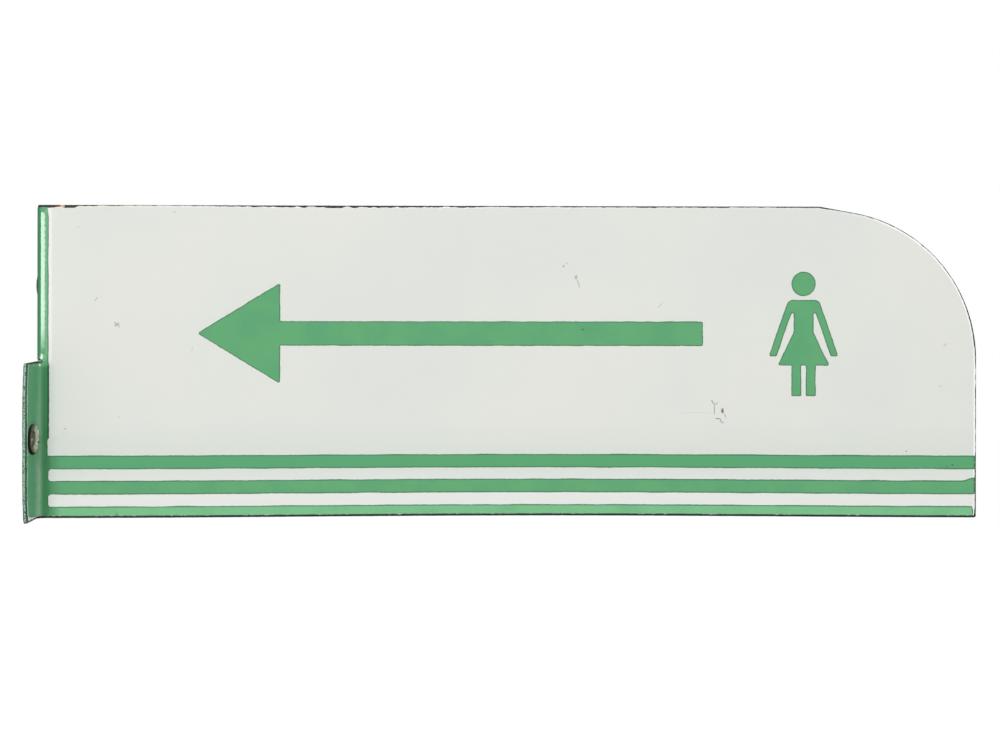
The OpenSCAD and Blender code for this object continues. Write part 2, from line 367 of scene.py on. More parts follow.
def band_outline(low_edge, high_edge, low_rise, high_drop):
    """Border and three stripes as one comb. low_rise and high_drop trim its outer flange corners.

    The middle stripe flares at its free end, and the border is a little wider above the stripes.
    """
    low = -HALF_HEIGHT + 0.65
    slit = COAT_SLIT + 0.7
    slit_end = COAT_SLIT_END + 0.6
    narrow = BORDER_U - 0.45
    wide = BORDER_U + 0.5
    return [
        (low_edge, -LEAN_OUTER, EDGE_BOW),
        (low_edge + EDGE_LEAN, low + low_rise, 1.2),
        (-8.0, low + 0.1, 3.0),
        (STRIPE_END - 0.4, low, 0.6),
        (STRIPE_END - 1.6, BOTTOM_STRIPE_TOP, 0.6),
        (BORDER_U, BOTTOM_STRIPE_TOP, 2.0),
        (BORDER_U, MIDDLE_STRIPE[0], 2.0),
        (STRIPE_END, MIDDLE_STRIPE[0], 0.5),
        (STRIPE_END, -75.5, 0.3),
        (STRIPE_END - 1.6, -75.6, 1.5),
        (STRIPE_END - 7.4, MIDDLE_STRIPE[1], 8.0),
        (BORDER_U, MIDDLE_STRIPE[1], 2.0),
        (BORDER_U, TOP_STRIPE[0], 2.2),
        (STRIPE_END, TOP_STRIPE[0], 0.6),
        (STRIPE_END, TOP_STRIPE[1], 0.5),
        (narrow, TOP_STRIPE[1], 0.4),
        (narrow, BORDER_STEP[0], 0.8),
        (wide, BORDER_STEP[1], 0.8),
        (wide, -3.0, 1.5),
        (BORDER_U, -0.5, 1.5),
        (BORDER_U, -low, 0.6),
        (-8.0, -low, 3.0),
        (high_edge + EDGE_LEAN, -low - high_drop, 1.2),
        (high_edge, LEAN_OUTER, EDGE_BOW),
        (high_edge, LEAN_INNER, EDGE_BOW),
        (high_edge + EDGE_LEAN, slit, COAT_CORNER),
        (slit_end, slit, slit),
        (slit_end, -slit, slit),
        (low_edge + EDGE_LEAN, -slit, COAT_CORNER),
        (low_edge, -LEAN_INNER, EDGE_BOW),
    ]


def arrow_outline():
    """A plain arrow that points to the wall."""
    mid = 18.2
    head_half = 33
    shaft_half = 8
    tip = 106 - BEND_X
    back = tip + 54
    end = 436.04 - BEND_X
    return [
        (tip, mid, 1.2),
        (back, mid - head_half, 1.0),
        (back, mid - shaft_half, 0.7),
        (end, mid - shaft_half, 0.9),
        (end, mid + shaft_half, 0.9),
        (back, mid + shaft_half, 0.7),
        (back, mid + head_half, 1.0),
    ]


def figure_outlines():
    """A plain figure in a skirt: the body, and a round head above it.

    The arm pit is where the arm's inner line, parallel to its outer one, meets the side.
    """
    u = 502.04 - BEND_X
    foot = -22.5
    arm_pit = 63 - 37 / 13 * (6.5 - 10 + 5.2)
    right = [
        (1.5, 0, 0.6),
        (8, 0, 0.6),
        (8, 20, 0.6),
        (17, 20, 0.9),
        (6.5, 42, 1.5),
        (6.5, arm_pit, 0.8),
        (17.8, 26, 1.2),
        (23, 26, 1.2),
        (10, 63, 4.0),
    ]
    left = [(-x, z, r) for x, z, r in reversed(right)]
    crotch = [(-1.5, 20, 0.7), (1.5, 20, 0.7)]
    body = [(u + x, foot + z, r) for x, z, r in right + left + crotch]
    head_z = foot + 73.4
    head_r = 8
    head = [(u + x * head_r, head_z + z * head_r, head_r) for x, z in ((-1, -1), (1, -1), (1, 1), (-1, 1))]
    return body, head


GROUND_LAYERS = [
    (0.5, -0.92), (0.22, -0.905), (0.03, -0.82), (-0.08, -0.62), (-0.12, -0.3), (-0.12, 0),
    (-0.12, 0.3), (-0.08, 0.62), (0.03, 0.82), (0.22, 0.905), (0.5, 0.92),
]
STEEL_LAYERS = [(0.3, -0.8), (0.06, -0.77), (0.0, -0.6), (0.0, 0.0), (0.0, 0.6), (0.06, 0.77), (0.3, 0.8)]
LINING_LAYERS = [(0.5, -0.81), (0.0, -0.81), (0.0, 0.81), (0.5, 0.81)]
WHITE_LAYERS = [
    (0.62, 0.9), (0.36, 0.9), (0.35, 0.97), (0.4, 1.05), (0.55, 1.11), (0.8, 1.13), (1.4, 1.11), (2.2, 1.1),
]
GREEN_LAYERS = [
    (0.3, 1.085), (0.0, 1.085), (0.0, 1.13), (0.06, 1.18), (0.2, 1.225), (0.36, 1.235), (0.62, 1.225),
    (0.92, 1.22),
]

CHIPS = {
    1: [
        (-4.9, 101.4, 8.0, 1.0), (4.1, 101.4, 8.0, 0.8), (16.6, 101.4, 6.0, 1.1),
        (30.1, 101.4, 8.0, 0.4), (45.1, 101.4, 9.0, 0.35), (-30.0, 78.0, 3.0, 0.5),
        (-30.0, -70.0, 5.0, 0.4), (-30.0, -38.0, 4.0, 0.5), (187.0, 101.4, 3.0, 0.3),
        (401.0, -101.4, 2.5, 0.5), (608.5, -20.0, 5.0, 0.3), (606.8, 18.0, 22.0, 0.45),
        (600.0, 40.0, 14.0, 0.25),
    ],
    -1: [
        (20.0, 101.4, 5.0, 0.6), (129.0, 101.4, 4.0, 0.4), (299.0, -101.4, 6.0, 0.6),
        (608.5, -44.0, 6.0, 0.5), (-30.0, 60.0, 5.0, 0.5), (-30.0, -80.0, 4.0, 0.4),
        (504.0, 101.4, 4.0, 0.4),
    ],
}
TOP_WEAR = [
    (0, 0.4), (17, 0.4), (24, -0.1), (36, -0.25), (69, -0.15), (102, 0.0), (118, 0.3), (150, 0.55),
    (200, 0.8), (240, 0.6), (290, 0.35), (340, 0.25), (396, 0.35), (440, 0.3), (470, 0.1), (500, 0.4),
    (507, 0.3), (515, 0.05),
]


def calm_near_slit(points):
    """1 over the sheet and less within a few millimetres of the slit and the holes."""
    slit = np.where(points[:, 0] < 4, np.clip(np.abs(points[:, 1]) / 6 - 0.1, 0.15, 1), 1)
    hole = np.hypot(points[:, 0] - HOLE_U, np.abs(points[:, 1]) - HOLE_Z)
    return np.where(hole < 9, 0.25, slit)


def white_edge(side):
    """How far the white coat's edge is brushed back, in millimetres, with chips and waviness.

    It is 0.08 all round, and more in three places: 0.95 along the foot, 0.33 in the slit and 0.35
    beside the stripes' ends. TOP_WEAR gives how much further it is worn back along the front's top.
    """
    def edge(points, along):
        u, z = points.T
        back = 0.95 * np.clip((-95 - z) / 5, 0, 1)
        back += np.where((np.abs(z) < 1.5) & (u < 0), 0.33, 0)
        back += 0.35 * np.clip((-58 - z) / 3, 0, 1) * (u > 600) * (z > -98)
        if side > 0:
            worn = np.interp(u, *np.array(TOP_WEAR).T)
            worn = np.where(worn > 0, worn * np.maximum(1 + 0.3 * wander(along, 50, 4, 91), 0.2), worn)
            back += worn * (z > 97.5)
        wave = 0.09 * wander(along, 60, 4, 11 + side) + 0.05 * wander(along, 4, 1.5, 21 + side)
        back = back + 0.08 + wave * calm_near_slit(points)
        return np.maximum(back + nicks(points, CHIPS[side]), -0.1)
    return edge


def band_edge(side):
    """How a green edge strays from its stencil: further in along the foot, out round the stripes."""
    def edge(points, along):
        wave = 0.08 * wander(along, 90, 20, 31 + side) + 0.035 * wander(along, 8, 2, 41 + side)
        foot = 0.7 * np.clip((-99 - points[:, 1]) / 1.5, 0, 1)
        stripe = -0.2 * np.clip((points[:, 0] - 6) / 6, 0, 1) * (points[:, 1] > -99)
        back = foot + stripe + wave * calm_near_slit(points)
        return back + nicks(points, CHIPS[side]) * 0.9
    return edge


def symbol_edge(seed):
    """How a symbol's edge strays from its stencil."""
    def edge(points, along):
        return 0.07 * wander(along, 60, 10, seed) + 0.05 * wander(along, 8, 1.5, seed + 1)
    return edge


def even_edge(points, along):
    """An edge that keeps its line, but for a few hundredths of a millimetre."""
    return 0.02 * wander(along, 30, 3, 5)


def turned(profile, z, steps, dents, seed):
    """A grommet piece: a closed profile of (radius, distance from the wall) turned about a screw's line.

    The radius and the distance of its rim each get a slow wave round the turn, so that it looks
    hammered.
    """
    y = -HOLE_Y if z < 0 else HOLE_Y
    rim_radius = 7.5
    rim_height = 3.45
    profile = np.array(profile, float)
    angle = np.arange(steps) / steps * 2 * pi
    rng = np.random.default_rng(seed)
    waves = np.arange(2, 9)
    phase = rng.uniform(0, 2 * pi, (2, len(waves)))
    strength = rng.normal(0, 1, (2, len(waves))) / waves
    wave = np.sin(angle[:, None] * waves + phase[:, None]) * strength[:, None]
    radial, axial = wave.sum(axis=2) * dents
    r = profile[:, 0] + radial[:, None] * (profile[:, 0] > rim_radius)
    x = profile[:, 1] + axial[:, None] * (profile[:, 1] > rim_height)
    points = np.stack([x, y + r * np.cos(angle)[:, None], z + r * np.sin(angle)[:, None]], axis=-1)
    count = len(profile)
    turn, i = np.indices((steps, count))
    beside = (i + 1) % count
    onward = (turn + 1) % steps
    triangles = halved(turn * count + i, turn * count + beside, onward * count + beside, onward * count + i)
    places = points.reshape(-1, 3)
    corner = places[triangles]
    volume = np.einsum("ij,ij->i", corner[:, 0], np.cross(corner[:, 1], corner[:, 2])).sum()
    if volume < 0:
        triangles = triangles[:, ::-1]
    return places * 0.001, triangles


EYELET_PROFILE = [
    (6.72, 0.02), (6.2, 0.42), (5.5, 0.86), (5.26, 1.1), (5.26, 2.2), (5.26, 3.25), (5.6, 3.5),
    (6.3, 3.86), (7.3, 4.3), (8.2, 4.55), (8.9, 4.3), (9.15, 3.8), (9.3, 3.4), (9.5, 3.35),
    (9.72, 3.36), (9.79, 3.46), (9.78, 3.8), (9.72, 4.2), (9.55, 4.6), (9.25, 4.9), (8.85, 5.06),
    (8.4, 5.1), (7.9, 5.04), (7.3, 4.84), (6.6, 4.5), (5.9, 4.12), (5.3, 3.8), (4.95, 3.5), (4.8, 3.1),
    (4.77, 2.6), (4.77, 1.6), (4.77, 1.0), (4.95, 0.75), (5.6, 0.4), (6.2, 0.06), (6.45, 0.0),
]
WASHER_PROFILE = [
    (5.4, 0.88), (5.5, 0.9), (7.5, 0.9), (9.1, 0.9), (9.3, 0.86), (9.39, 0.74), (9.4, 0.45),
    (9.39, 0.16), (9.3, 0.04), (9.1, 0.0), (7.9, 0.0), (6.95, 0.0), (6.84, 0.04), (6.3, 0.45),
    (5.7, 0.8),
]


def make_grommet(name, profile, z, dents, seed, material):
    """One turned brass piece at a screw hole."""
    places, triangles = turned(profile, z, 96, dents, seed)
    piece = make_mesh(name, places, triangles)
    piece.data.materials.append(material)
    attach(piece, "root")
    return piece


# Finishes

class Value:
    """A number, colour or place that changes over a surface: what one node gives.

    Values are added, multiplied and so on as plain numbers are. Each step makes one Math node.
    """

    def __init__(self, tree, socket):
        self.tree = tree
        self.socket = socket

    def other(self, name):
        """Another output of the same node."""
        return Value(self.tree, self.socket.node.outputs[name])

    def maths(self, kind, *others):
        """One Math node that starts from this value."""
        return put(self.tree, "ShaderNodeMath", dict(enumerate((self, *others))), operation=kind)

    def __add__(self, other):
        return self.maths("ADD", other)

    def __sub__(self, other):
        return self.maths("SUBTRACT", other)

    def __mul__(self, other):
        return self.maths("MULTIPLY", other)

    def __truediv__(self, other):
        return self.maths("DIVIDE", other)

    def __abs__(self):
        return self.maths("ABSOLUTE")

    def scaled(self, factor, offset):
        """The value times a factor, plus an offset."""
        return self.maths("MULTIPLY_ADD", factor, offset)

    def most(self, *others):
        """The largest of several values."""
        largest = self
        for other in others:
            largest = largest.maths("MAXIMUM", other)
        return largest

    def ramp(self, low, high, start=0.0, end=1.0):
        """The value carried smoothly from one range to another."""
        inputs = {"Value": self, "From Min": low, "From Max": high, "To Min": start, "To Max": end}
        return put(self.tree, "ShaderNodeMapRange", inputs, interpolation_type="SMOOTHSTEP")

    def within(self, rise, fall):
        """1 over a stretch of values and 0 beyond it. Each end runs smoothly between two values."""
        return self.ramp(*rise) * self.ramp(*fall)

    def blend(self, first, second):
        """Two colours mixed by this value, from 0 to 1."""
        return put(self.tree, "ShaderNodeMix", {"Factor": self, 6: first, 7: second}, 2, data_type="RGBA")

    def axes(self):
        """The x, y and z of a place."""
        x = put(self.tree, "ShaderNodeSeparateXYZ", {0: self}, "X")
        return x, x.other("Y"), x.other("Z")

    def rotated(self, turn):
        """A place turned in the plane of the face."""
        inputs = {"Vector": self, "Angle": turn}
        return put(self.tree, "ShaderNodeVectorRotate", inputs, rotation_type="Y_AXIS")

    def clouds(self, scale, detail):
        """Cloudy noise over a place. The scale is in clouds per unit of the place."""
        inputs = {"Vector": self, "Scale": scale, "Detail": detail}
        return put(self.tree, "ShaderNodeTexNoise", inputs, "Fac")

    def use(self, group, **inputs):
        """What a shared group gives over a place. An underscore in a name stands for a space."""
        named = {key.replace("_", " "): value for key, value in inputs.items()}
        return put(self.tree, "ShaderNodeGroup", {"Place": self, **named}, node_tree=group)


def put(tree, kind, inputs=None, output=0, **settings):
    """Adds one node and gives one of its outputs. An input is plain, or a value of another node."""
    made = tree.nodes.new(kind)
    for name, value in settings.items():
        setattr(made, name, value)
    for key, value in (inputs or {}).items():
        if isinstance(value, Value):
            tree.links.new(value.socket, made.inputs[key])
        else:
            made.inputs[key].default_value = value
    return Value(tree, made.outputs[output]) if made.outputs else None


def hypotenuse(a, b):
    """Length of the long side over two sides at a right angle."""
    return (a * a + b * b).maths("SQRT")


def drift(place, tone, other_tone, cloud_size):
    """Slow drift of a fired colour between two tones, as clouds of a given size in millimetres."""
    scale = put(place.tree, "ShaderNodeMath", {0: 1.0, 1: cloud_size}, operation="DIVIDE")
    return [place.clouds(scale, 3.0).ramp(0.32, 0.68).blend(tone, other_tone)]


def fired_glass(place, peel_height, wave_height):
    """Surface of fired glass: heights in metres of its fine orange peel and its slow waves."""
    peel = place.clouds(0.4, 1.0) * peel_height
    height = place.clouds(0.035, 1.0).scaled(wave_height, peel)
    return [height, place.clouds(0.06, 5.0).ramp(0.45, 0.75)]


def specks(place, cell_size, share, radius):
    """Round black specks: cells of a given size, of which a share holds one speck of a given radius."""
    scale = put(place.tree, "ShaderNodeMath", {0: 1.0, 1: cell_size}, operation="DIVIDE")
    cells = put(place.tree, "ShaderNodeTexVoronoi", {"Vector": place, "Scale": scale}, "Distance")
    red = put(place.tree, "ShaderNodeSeparateColor", {"Color": cells.other("Color")}, "Red")
    radius = radius * red.other("Green").scaled(0.8, 0.4) * scale
    return [cells.ramp(radius, radius * 0.6) * red.maths("LESS_THAN", share)]


def scratches(place, length, width, turn, rarity):
    """Hairline scratches: thin crests of noise drawn out along one direction, broken into stretches."""
    x, y, z = place.rotated(turn).axes()
    drawn = put(place.tree, "ShaderNodeCombineXYZ", {0: x / length, 1: y / length, 2: z / width})
    lines = abs(drawn.clouds(1.0, 0.0) - 0.5).ramp(0.012, 0.0)
    return [lines * place.clouds(0.045, 2.0).ramp(rarity, rarity + 0.06)]


def chipped_spot(place, centre, turn, length, width):
    """One chipped or scuffed spot: an ellipse with a ragged edge and gaps in it, turned in its place."""
    moved = put(place.tree, "ShaderNodeVectorMath", {0: place, 1: centre}, operation="SUBTRACT")
    x, _, z = moved.rotated(turn).axes()
    reach = hypotenuse(x / length, z / width) + place.clouds(1.3, 3.0).scaled(1.6, -0.8)
    return [reach.ramp(1.05, 0.75)]


def smooth_dimple(place, centre, radius, rise):
    """A smooth round bump or dent: its height in metres falls off as an S-curve over its radius."""
    away = put(place.tree, "ShaderNodeVectorMath", {0: place, 1: centre}, "Value", operation="DISTANCE")
    return [away.ramp(radius, 0.0) * rise]


SOCKET_KINDS = {
    "Place": "NodeSocketVector", "Centre": "NodeSocketVector",
    "Tone": "NodeSocketColor", "Other tone": "NodeSocketColor", "Colour": "NodeSocketColor",
}


def new_group(name, formula, inputs, outputs):
    """A shader node group. The formula takes its inputs as values and gives its outputs in a list."""
    tree = bpy.data.node_groups.new(name, "ShaderNodeTree")
    for in_out, labels in (("INPUT", inputs), ("OUTPUT", outputs)):
        for label in labels:
            kind = SOCKET_KINDS.get(label, "NodeSocketFloat")
            tree.interface.new_socket(name=label, in_out=in_out, socket_type=kind)
    given = tree.nodes.new("NodeGroupInput").outputs
    end = tree.nodes.new("NodeGroupOutput").inputs
    results = formula(*(Value(tree, given[label]) for label in inputs))
    for label, result in zip(outputs, results):
        tree.links.new(result.socket, end[label])
    return tree


DRIFT = new_group("slow colour drift", drift, ["Place", "Tone", "Other tone", "Cloud size"], ["Colour"])
GLASS = new_group(
    "fired glass surface", fired_glass, ["Place", "Peel height", "Wave height"], ["Height", "Sheen loss"],
)
SPECKS = new_group("specks", specks, ["Place", "Cell size", "Share", "Radius"], ["Mask"])
SCRATCHES = new_group(
    "hairline scratches", scratches, ["Place", "Length", "Width", "Turn", "Rarity"], ["Mask"],
)
SPOT = new_group("chipped spot", chipped_spot, ["Place", "Centre", "Turn", "Length", "Width"], ["Mask"])
DIMPLE = new_group("smooth dimple", smooth_dimple, ["Place", "Centre", "Radius", "Rise"], ["Height"])


class Finish:
    """A material under way: its shader, its place in millimetres and the colour it has so far."""

    def __init__(self, name, tone, other_tone, cloud_size, **constants):
        """Starts from a colour that drifts between two tones. The constants go to the shader."""
        self.material = bpy.data.materials.new(name)
        self.material.use_nodes = True
        self.tree = self.material.node_tree
        self.shader = self.tree.nodes["Principled BSDF"]
        for key, value in constants.items():
            self.shader.inputs[key.replace("_", " ")].default_value = value
        metres = put(self.tree, "ShaderNodeTexCoord", output="Object")
        self.place = put(self.tree, "ShaderNodeVectorMath", {0: metres, "Scale": 1000.0}, operation="SCALE")
        self.colour = self.place.use(
            DRIFT, Tone=(*tone, 1), Other_tone=(*other_tone, 1), Cloud_size=cloud_size,
        )

    def from_edge(self):
        """Distance from the coat's own edge, in millimetres."""
        return put(self.tree, "ShaderNodeAttribute", output="Fac", attribute_name="edge_distance")

    def tint(self, tone, mask):
        """Turns the colour towards a tone, as far as the mask says."""
        self.colour = mask.blend(self.colour, (*tone, 1))

    def close(self, rough, height, metallic=None):
        """Links the colour, the roughness and a bump of a height in metres. Gives the material."""
        bump = put(self.tree, "ShaderNodeBump", {"Height": height, "Distance": 1.0, "Strength": 1.0})
        links = {"Base Color": self.colour, "Roughness": rough, "Normal": bump, "Metallic": metallic}
        for key, value in links.items():
            if value:
                self.tree.links.new(value.socket, self.shader.inputs[key])
        return self.material


def chipped(place, marks, y=0.0):
    """Mask of a list of chipped spots, each given as (x, z, turn, length, width, strength)."""
    worn = None
    for x, z, turn, length, width, strength in marks:
        mask = place.use(SPOT, Centre=(x, y, z), Turn=turn, Length=length, Width=width) * strength
        worn = worn.most(mask) if worn else mask
    return worn


def dimple(place, centre, radius, rise):
    """Height of one dimple."""
    return place.use(DIMPLE, Centre=centre, Radius=radius, Rise=rise)


FRONT_WHITE_MARKS = [
    (40.3, 40.2, 0.9, 1.9, 0.5, 0.35), (54.0, 23.8, 0.5, 1.7, 1.1, 0.5),
    (55.3, -36.3, 0.0, 0.8, 0.5, 0.2), (20.5, -44.1, 0.0, 0.5, 0.5, 0.8),
    (569.6, -58.6, 0.0, 0.6, 0.5, 0.7), (354.4, 50.9, -1.25, 3.2, 0.5, 0.4),
    (352.8, 54.9, 1.3, 1.6, 1.0, 0.5), (344.7, 62.2, 0.6, 0.9, 0.7, 0.5),
    (346.9, 64.2, 0.4, 1.0, 0.6, 0.25), (443.6, -31.0, 1.571, 4.2, 0.42, 0.6),
    (442.5, -26.6, -1.0, 1.9, 0.45, 0.7), (444.8, -27.6, 0.8, 1.3, 0.4, 0.5),
    (448.9, -32.2, 1.571, 1.9, 1.0, 0.95), (446.0, -37.3, 0.0, 1.9, 0.5, 0.75),
    (447.8, -38.6, -1.0, 1.5, 0.45, 0.7), (448.9, -39.9, 0.0, 1.3, 0.4, 0.6),
    (450.6, -35.4, -1.1, 1.8, 0.4, 0.5), (430.6, -33.4, 0.0, 12.0, 0.22, 0.15),
    (52.6, 25.2, 0.0, 0.6, 0.5, 0.5), (55.6, 22.4, 1.0, 0.9, 0.4, 0.4),
    (408.0, 37.0, 0.9, 2.6, 0.4, 0.3), (103.0, 8.0, 1.3, 3.0, 0.4, 0.15),
    (595.0, 11.0, 0.8, 2.0, 0.5, 0.3), (592.0, -16.0, 0.3, 1.0, 0.5, 0.3),
    (12.5, -51.0, 1.0, 2.6, 0.3, 0.16), (14.8, -50.5, -1.0, 2.4, 0.3, 0.13),
    (29.0, 87.0, 0.2, 1.0, 0.4, 0.25), (91.0, 97.0, 0.4, 1.4, 0.4, 0.3),
]
BACK_WHITE_MARKS = [
    (210.0, -32.0, 0.8, 2.4, 0.8, 0.5), (470.0, 48.0, 0.3, 3.2, 0.6, 0.4),
    (66.0, 70.0, 1.3, 1.6, 0.9, 0.6), (548.0, -40.0, 0.0, 1.2, 1.0, 0.6),
]


def white_finish(name, side, marks):
    """White cover coat: warm white glass with a painted highlight along its rounded edge, and grey wear.

    Beside the bend it has a painted highlight on the half that bends away from this side (1 front,
    -1 back) and a painted shadow of the flange in the corner of the other half. It yellows a little in
    the wall's top corner.
    """
    look = Finish(name, (0.742, 0.748, 0.702), (0.71, 0.73, 0.69), 150.0, Roughness=0.1, IOR=1.5)
    place = look.place
    x, y, z = place.axes()
    own_half = z * side
    lower_face = z.ramp(-36.0, -60.0)
    look.tint((0.665, 0.715, 0.660), lower_face * 0.85)
    between_stripes = z.ramp(-66.0, -88.0)
    look.tint((0.765, 0.778, 0.750), between_stripes)
    # Painted highlight: a paler strip on the face beside the bend, on the half that bends away.
    painted_highlight_beside_bend = x.ramp(12.4, 11.2) * own_half.ramp(-2.0, 2.0)
    look.tint((0.86, 0.87, 0.81), painted_highlight_beside_bend * 0.8)
    # Painted shadow: grey on the face beside the flange half that stands forward.
    painted_flange_shadow = x.ramp(16.5, 10.0) * own_half.ramp(-1.0, -5.0) * abs(y).ramp(3.0, 2.0)
    look.tint((0.53, 0.58, 0.54), painted_flange_shadow * 0.42)
    distance = look.from_edge()
    # Painted highlight: paler white along the rounded edge, weaker along the top edge.
    painted_edge_highlight = distance.ramp(1.5, 0.9) * z.ramp(98.0, 88.0, 0.15, 0.9)
    look.tint((0.95, 0.97, 0.94), painted_edge_highlight)
    wall_corner = x.ramp(90.0, 40.0) * z.ramp(85.0, 97.0)
    thin = distance.ramp(1.5, 0.2) * place.clouds(0.25, 2.0).ramp(0.35, 0.6, 0.15, 0.8)
    look.tint((0.78, 0.70, 0.56), thin * wall_corner)
    hair = place.use(SCRATCHES, Length=60.0, Width=5.0, Turn=0.35, Rarity=0.56)
    cross_hair = place.use(SCRATCHES, Length=45.0, Width=6.0, Turn=-1.1, Rarity=0.58)
    scratched = hair.most(cross_hair)
    look.tint((0.42, 0.42, 0.38), scratched * 0.10)
    dots = place.use(SPECKS, Cell_size=24.0, Share=0.10, Radius=0.32)
    look.tint((0.20, 0.20, 0.18), dots * 0.5)
    worn = chipped(place, marks)
    look.tint((0.16, 0.165, 0.15), worn)
    glass = place.use(GLASS, Peel_height=4e-6, Wave_height=6e-5)
    rough = scratched.most(worn).scaled(0.35, glass.other("Sheen loss").scaled(0.05, 0.07))
    return look.close(rough, scratched.scaled(-1e-5, glass))


FRONT_GREEN_MARKS = [
    (489.5, -13.6, 0.0, 0.6, 0.5, 0.9), (600.0, -67.6, 0.0, 0.8, 0.7, 0.8),
    (596.5, -68.6, 0.0, 1.1, 0.5, 0.35), (20.0, -76.2, 0.0, 0.9, 0.4, 0.5),
    (60.0, -101.0, 0.0, 1.6, 0.5, 0.5), (19.0, -62.0, 0.0, 1.6, 0.4, 0.3),
    (54.0, -99.5, 0.0, 0.6, 1.0, 0.4), (357.2, 20.8, 0.0, 0.5, 0.6, 0.9),
]
FRONT_DIMPLES = [
    ((4.75, -0.8, 2.4), 2.5, 1.6e-4), ((2.6, 2.2, 6.0), 2.4, 1e-4),
    ((3.4, -8.0, -2.2), 1.2, 1.2e-4),
]
# Painted glints, front and back: white spots near the slit's end, as (centre, radius).
FRONT_PAINTED_GLINTS = [((4.4, -2.3, -2.5), 1.3), ((3.3, -10.7, -2.5), 0.95), ((4.95, -0.85, 2.2), 2.0)]
BACK_PAINTED_GLINTS = [((4.4, 2.3, 2.9), 1.0)]
BACK_DIMPLES = [((4.5, 2.2, 2.8), 1.4, 1.3e-4), ((4.75, 0.8, -3.0), 1.8, 1.3e-4)]
BACK_GREEN_MARKS = [(240.0, 16.0, 0.0, 1.1, 0.8, 0.8), (506.0, 4.0, 0.4, 1.2, 0.6, 0.7)]


def green_finish(name, side, marks, dimples, painted_glints):
    """Green cover coat: darker along its stencilled edge, lighter in the lowest stripe, dull on the flange.

    On the half whose bend is hollow from this side (1 front, -1 back), painted shade darkens the
    corner and a painted reflection pales the bend and flange next to it. On the other half the bend's
    far side has painted shade and the face next to the bend a painted sheen. White spots near the slit
    are painted glints, and a pale line along the flange's free edge is a painted highlight.
    """
    look = Finish(name, (0.098, 0.375, 0.148), (0.084, 0.345, 0.146), 22.0, Roughness=0.1, IOR=1.5)
    place = look.place
    x, y, z = place.axes()
    own_half = z * side
    away = abs(y)
    streaks = place.clouds(0.05, 3.0).ramp(0.2, 0.6, 0.6, 1.0)
    low_stripe = z.ramp(-89.5, -92.5) * x.ramp(8.0, 20.0)
    look.tint((0.17, 0.50, 0.235), low_stripe * streaks)
    flange = away.ramp(1.5, 4.5)
    look.tint((0.15, 0.455, 0.236), flange)
    near = away.ramp(3.2, 2.4)
    top_stripe = z.within((-72.0, -69.0), (-52.0, -58.0))
    look.tint((0.075, 0.353, 0.141), top_stripe * near)
    # Painted shade: darker green on the far side of the bend that bends away, where it turns from the
    # light.
    round_half = own_half.ramp(1.0, 5.0)
    look.tint((0.066, 0.240, 0.130), round_half * x.ramp(4.8, 3.4) * 0.8)
    # Painted sheen: lighter green on the face just beside the bend, on the half that bends away.
    painted_sheen_beside_crest = x.within((7.2, 8.4), (14.0, 11.0)) * near * round_half
    look.tint((0.185, 0.440, 0.250), painted_sheen_beside_crest * 0.8)
    # Painted shade: darker green in the hollow corner of the half that bends forward.
    painted_corner_shade = x.within((4.4, 6.2), (20.0, 7.0)) * near * own_half.ramp(-1.5, -5.0)
    look.tint((0.030, 0.165, 0.062), painted_corner_shade * 0.8)
    # Painted reflection: pale patches on the bend and flange of the half that bends forward, low down.
    painted_reflection_on_flange = away.within((1.0, 4.0), (11.0, 5.0)) * own_half.ramp(-4.0, -62.0)
    patches = place.clouds(0.16, 3.0).ramp(0.3, 0.6, 0.4, 0.85)
    look.tint((0.36, 0.53, 0.39), painted_reflection_on_flange * patches)
    # Painted highlight: a pale line along the flange's free edge.
    painted_free_edge_highlight = away.ramp(22.2, 23.2)
    look.tint((0.33, 0.55, 0.40), painted_free_edge_highlight * 0.7)
    outline = look.from_edge().ramp(0.88, 0.35) * away.ramp(23.0, 20.0)
    look.tint((0.028, 0.13, 0.06), outline * 0.8)
    shaded = own_half.within((-1.0, -4.0), (-51.5, -50.0)) * near * x.within((8.7, 9.4), (11.5, 11.0))
    look.tint((0.010, 0.045, 0.020), shaded * 0.7)
    dots = place.use(SPECKS, Cell_size=14.0, Share=0.16, Radius=0.3)
    worn = chipped(place, marks).most(dots * 0.55)
    look.tint((0.012, 0.02, 0.018), worn)
    hair = place.use(SCRATCHES, Length=30.0, Width=3.0, Turn=0.2, Rarity=0.6)
    look.tint((0.3, 0.5, 0.36), hair * 0.10)
    # Painted glints: small white spots.
    for centre, radius in painted_glints:
        look.tint((0.86, 0.92, 0.84), dimple(place, centre, radius, 1.0).ramp(0.25, 0.6))
    glass = place.use(GLASS, Peel_height=5e-6, Wave_height=7e-5)
    dull = dimple(place, (6.7, 0.0, 1.4 * side), 3.2, 0.7)
    rough = glass.other("Sheen loss").scaled(0.05, 0.07) + dull
    height = worn.scaled(-8e-5, glass)
    for centre, radius, rise in dimples:
        height = height + dimple(place, centre, radius, rise)
    return look.close(worn.scaled(0.4, rough), height)


